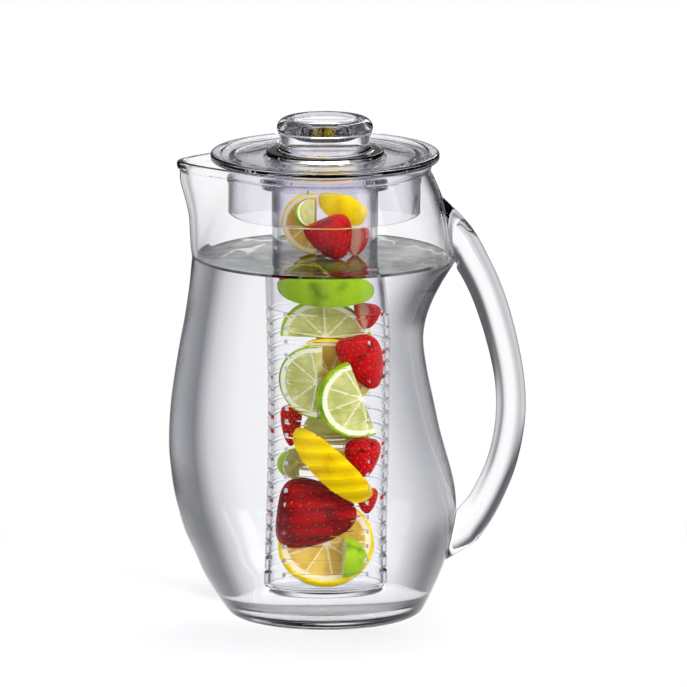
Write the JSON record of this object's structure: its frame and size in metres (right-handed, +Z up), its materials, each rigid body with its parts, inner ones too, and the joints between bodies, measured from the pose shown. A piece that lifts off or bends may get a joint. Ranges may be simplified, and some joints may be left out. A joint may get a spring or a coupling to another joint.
{
  "type": "fruit infuser pitcher",
  "caption": "Clear acrylic water pitcher with a beak and an open handle, a lift-off knobbed lid, and a slotted infuser tube packed with lemon, lime and strawberry.",
  "frame": {"origin": "centre of the pitcher's foot, on the table", "axes": "+Z up, +X towards the handle, -X towards the pouring beak, -Y towards the camera of the picture"},
  "size_m": [0.1919, 0.146, 0.2703],
  "materials": {
    "clear_acrylic": "clear gloss",
    "clear_acrylic_thick": "clear gloss, solid or thick",
    "lemon_slice": "wet cut flesh with a yellow rim",
    "lemon_wedge": "waxy yellow rind",
    "lime_slice": "wet cut flesh with a green rim",
    "lime_wedge": "waxy green rind",
    "strawberry": "wet red skin with seeds"
  },
  "bodies": {
    "pitcher": {"pitcher_body": "clear_acrylic", "handle": "clear_acrylic_thick"},
    "lid": {"lid": "clear_acrylic", "knob": "clear_acrylic_thick"},
    "infuser": {"infuser_tube": "clear_acrylic", "lemon_slice_low": "lemon_slice", "lime_wedge_low": "lime_wedge", "lime_chunk_low": "lime_wedge", "strawberry_large": "strawberry", "strawberry_small": "strawberry", "lemon_chunk_low": "lemon_wedge", "lemon_wedge_long": "lemon_wedge", "strawberry_right": "strawberry", "strawberry_left": "strawberry", "lime_chunk_left": "lime_wedge", "lime_half_slice_front": "lime_slice", "lime_half_slice_left": "lime_slice", "lime_chunk_mid": "lime_wedge", "lemon_half_slice_mid": "lemon_slice", "strawberry_middle": "strawberry", "lime_half_slice_pale": "lime_slice", "strawberry_upper_left": "strawberry", "strawberry_upper_right": "strawberry", "lime_wedge_cross": "lime_wedge", "lemon_chunk_upper": "lemon_wedge", "lemon_slice_waterline": "lemon_slice", "strawberry_half_top": "strawberry", "lemon_half_slice_top": "lemon_slice", "lemon_wedge_top": "lemon_wedge", "lime_wedge_top": "lime_wedge", "strawberry_cut_top": "strawberry", "lime_chunk_top": "lime_wedge", "lemon_chunk_mid": "lemon_wedge", "strawberry_back": "strawberry"}
  },
  "joints": [
    {"name": "lid_lift", "type": "slide", "parent": "pitcher", "child": "lid", "axis": [0, 0, 1], "range_m": [0, 0.24]},
    {"name": "infuser_twist", "type": "hinge", "parent": "lid", "child": "infuser", "pos_m": [0, 0, 0.2417], "axis": [0, 0, 1], "range_deg": [0, 60]}
  ]
}
